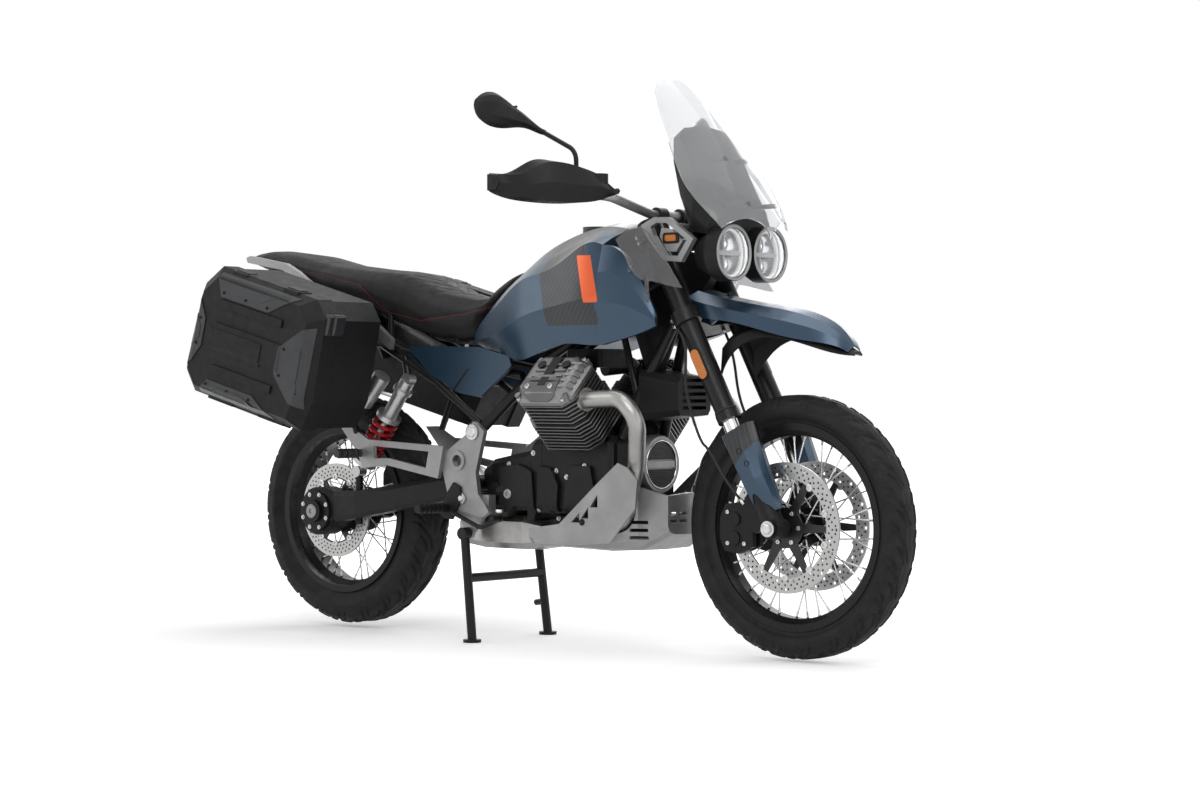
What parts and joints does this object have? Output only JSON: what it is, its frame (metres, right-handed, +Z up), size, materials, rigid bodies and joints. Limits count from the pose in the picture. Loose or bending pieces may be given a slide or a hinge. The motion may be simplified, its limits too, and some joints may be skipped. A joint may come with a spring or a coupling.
{
  "type": "adventure motorcycle",
  "caption": "Adventure motorcycle with finned V engine, twin round headlamps, wire wheels, tall screen and hard side cases, parked on its centre stand.",
  "frame": {"origin": "on the floor below the middle of the machine's length, in its middle plane", "axes": "+X ahead, +Y to the rider's left, +Z up"},
  "size_m": [2.2352, 0.95, 1.449],
  "materials": {
    "tyre_rubber": "matt",
    "rim_black": "satin",
    "spoke_steel": "polished",
    "disc_steel": "brushed",
    "fork_black": "satin",
    "slider_chrome": "polished",
    "cast_black": "satin",
    "frame_black": "satin",
    "body_blue": "matt metallic",
    "plastic_black": "matt",
    "engine_black": "satin",
    "engine_grey": "cast with bright fin edges",
    "cover_dark": "satin",
    "cast_silver": "satin",
    "header_steel": "satin",
    "seat_vinyl": "grained",
    "screen_clear": "clear",
    "screen_smoke": "smoked",
    "lamp_clear": "clear lens over chrome",
    "spring_red": "gloss",
    "shock_silver": "satin",
    "case_black": "grained"
  },
  "bodies": {
    "chassis": {"main_frame": "frame_black", "rear_subframe": "frame_black", "pivot_plates": "cast_silver", "engine_case": "engine_black", "front_engine_cover": "cover_dark", "cylinders": "engine_grey", "cylinder_heads": "engine_grey", "valve_covers": "engine_grey", "intakes": "engine_black", "exhaust_headers": "header_steel", "exhaust_box": "header_steel", "skid_plate": "cast_silver", "fuel_tank": "body_blue", "tank_shrouds": "body_blue", "side_panels": "body_blue", "seat": "seat_vinyl", "grab_rails": "cast_silver", "rear_mudguard": "plastic_black", "headlamps": "lamp_clear", "front_cowl": "plastic_black", "windscreen": "screen_clear", "wind_deflectors": "screen_smoke", "lamp_guards": "cast_silver", "oil_cooler": "plastic_black", "swingarm": "cast_black", "final_drive": "cast_black", "shock_absorber": "shock_silver", "shock_spring": "spring_red", "rider_footrests": "cast_black", "passenger_footrests": "cast_silver", "case_shell_right": "case_black", "case_shell_left": "case_black", "case_rack": "frame_black"},
    "steering": {"fork_yokes": "fork_black", "fork_tubes": "fork_black", "fork_sliders": "slider_chrome", "axle_carriers": "cast_black", "fork_guards": "body_blue", "front_mudguard": "body_blue", "front_mudguard_liner": "plastic_black", "handlebar": "frame_black", "hand_controls": "plastic_black", "hand_guards": "plastic_black", "mirrors": "plastic_black", "front_calipers": "cast_black"},
    "front_wheel": {"front_tyre": "tyre_rubber", "front_rim": "rim_black", "front_hub": "rim_black", "front_brake_discs": "disc_steel", "front_spokes": "spoke_steel"},
    "rear_wheel": {"rear_tyre": "tyre_rubber", "rear_rim": "rim_black", "rear_hub": "rim_black", "rear_brake_disc": "disc_steel", "rear_spokes": "spoke_steel"},
    "centre_stand": {"centre_stand": "frame_black"},
    "side_stand": {"side_stand": "frame_black"},
    "case_lid_right": {"case_lid_right": "case_black"},
    "case_lid_left": {"case_lid_left": "case_black"}
  },
  "joints": [
    {"name": "steering_head", "type": "hinge", "parent": "chassis", "child": "steering", "pos_m": [0.74903, 0, 0.30911], "axis": [-0.4695, 0, 0.8829], "range_deg": [-35, 35]},
    {"name": "front_axle", "type": "hinge", "parent": "steering", "child": "front_wheel", "pos_m": [0.787, 0, 0.3293], "axis": [0, 1, 0], "continuous": true},
    {"name": "rear_axle", "type": "hinge", "parent": "chassis", "child": "rear_wheel", "pos_m": [-0.743, 0, 0.3289], "axis": [0, 1, 0], "continuous": true},
    {"name": "centre_stand_pivot", "type": "hinge", "parent": "chassis", "child": "centre_stand", "pos_m": [-0.198, 0, 0.285], "axis": [0, 1, 0], "range_deg": [0, 80]},
    {"name": "side_stand_pivot", "type": "hinge", "parent": "chassis", "child": "side_stand", "pos_m": [-0.043, 0.18, 0.262], "axis": [0, -0.9781, -0.2079], "range_deg": [0, 100]},
    {"name": "case_lid_right_hinge", "type": "hinge", "parent": "chassis", "child": "case_lid_right", "pos_m": [-0.73299, -0.408, 0.60478], "axis": [0.9686, 0, -0.2487], "range_deg": [0, 85]},
    {"name": "case_lid_left_hinge", "type": "hinge", "parent": "chassis", "child": "case_lid_left", "pos_m": [-0.73299, 0.408, 0.60478], "axis": [-0.9686, 0, 0.2487], "range_deg": [0, 85]}
  ]
}
